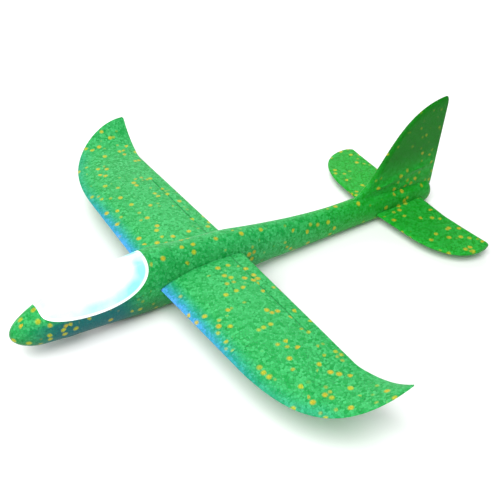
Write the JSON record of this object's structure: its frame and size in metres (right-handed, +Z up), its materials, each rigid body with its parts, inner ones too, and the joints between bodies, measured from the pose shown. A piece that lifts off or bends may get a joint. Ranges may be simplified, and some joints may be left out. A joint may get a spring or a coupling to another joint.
{
  "type": "foam hand-launch glider",
  "caption": "Bead-foam hand-launch glider with push-through wing and tailplane, upturned wing tips, one fin and a lit milky canopy over a battery light unit.",
  "frame": {"origin": "centre of the bounding box's bottom face: under the middle of the length, on the plane of symmetry, at the belly's lowest face", "axes": "+Z up, nose towards -Y, fin towards +Y, X along the span with the plane's left wing at +X"},
  "size_m": [0.4824, 0.478, 0.1215],
  "materials": {
    "green_foam": "moulded bead foam, green with a few yellow and orange beads",
    "milky_plastic": "translucent milky white, lit from inside",
    "white_plastic": "injection-moulded white",
    "black_plastic": "moulded black",
    "board_green": "green solder mask on fibreglass board",
    "led_epoxy": "clear epoxy dome",
    "bright_steel": "nickel-plated steel",
    "red_pvc": "wire insulation",
    "black_pvc": "wire insulation",
    "blue_pvc": "wire insulation"
  },
  "bodies": {
    "glider": {"fuselage": "green_foam", "canopy": "milky_plastic", "canopy_base": "white_plastic", "battery_tub": "white_plastic", "circuit_board": "board_green", "led_front": "led_epoxy", "led_middle": "led_epoxy", "led_rear": "led_epoxy", "resistor": "black_plastic", "switch_body": "black_plastic", "cell_front": "bright_steel", "cell_middle": "bright_steel", "cell_rear": "bright_steel", "contact_plate": "bright_steel", "contact_spring": "bright_steel", "base_screw_1": "bright_steel", "base_screw_2": "bright_steel", "base_screw_3": "bright_steel", "base_screw_4": "bright_steel", "wire_positive": "red_pvc", "wire_negative": "black_pvc", "wire_switch": "blue_pvc"},
    "wing_panel": {"wing": "green_foam"},
    "tail_panel": {"tailplane": "green_foam"},
    "button": {"switch_button": "black_plastic"},
    "door": {"battery_door": "white_plastic", "door_screw": "bright_steel"}
  },
  "joints": [
    {"name": "button_press", "type": "slide", "parent": "glider", "child": "button", "axis": [0, 0, 1], "range_m": [0, 0.0012], "stiffness_N_per_m": 800, "springref_m": -0.001},
    {"name": "door_lift", "type": "slide", "parent": "glider", "child": "door", "axis": [0, 0, -1], "range_m": [0, 0.025]},
    {"name": "wing_pull", "type": "slide", "parent": "glider", "child": "wing_panel", "axis": [1, 0, 0], "range_m": [0, 0.12]},
    {"name": "tailplane_pull", "type": "slide", "parent": "glider", "child": "tail_panel", "axis": [1, 0, 0], "range_m": [0, 0.125]}
  ]
}
